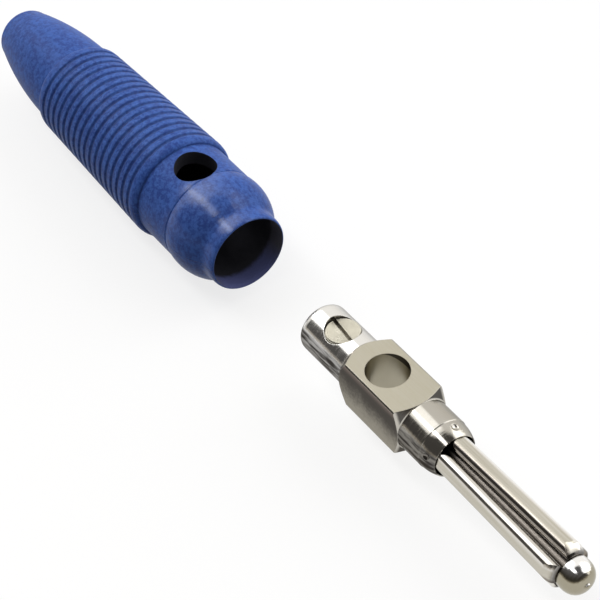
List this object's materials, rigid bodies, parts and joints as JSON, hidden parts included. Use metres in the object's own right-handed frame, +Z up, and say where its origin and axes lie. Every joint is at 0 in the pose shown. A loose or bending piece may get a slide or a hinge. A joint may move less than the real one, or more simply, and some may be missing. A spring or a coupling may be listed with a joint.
{
  "type": "banana plug",
  "caption": "Stacking banana plug with a sprung pin, a square block with a cross hole, a screw clamp and a ringed insulating sleeve drawn off behind it.",
  "frame": {"origin": "where the plug's long axis crosses the axis of the block's cross hole", "axes": "+X along the plug towards the pin's tip, +Z up along the cross hole and out of the clamp screw's slotted end"},
  "size_m": [0.0915, 0.0114, 0.0114],
  "materials": {
    "plated_body": "nickel plated brass, satin flats and bright turned ends",
    "screw": "nickel plated brass, bright",
    "pin_core": "nickel plated brass, bright",
    "spring_leaf": "nickel plated spring bronze, bright",
    "sleeve": "moulded blue plastic, satin"
  },
  "bodies": {
    "plug": {"plug_body": "plated_body", "core_pin": "pin_core", "contact_leaf_1": "spring_leaf", "contact_leaf_2": "spring_leaf", "contact_leaf_3": "spring_leaf", "contact_leaf_4": "spring_leaf"},
    "screw": {"clamp_screw": "screw"},
    "sleeve": {"insulating_sleeve": "sleeve"}
  },
  "joints": [
    {"name": "sleeve_slide", "type": "slide", "parent": "plug", "child": "sleeve", "axis": [1, 0, 0], "range_m": [0, 0.0302]},
    {"name": "screw_turn", "type": "hinge", "parent": "plug", "child": "screw", "pos_m": [-0.0066, 0, 0], "axis": [0, 0, 1], "range_deg": [0, 810]}
  ]
}
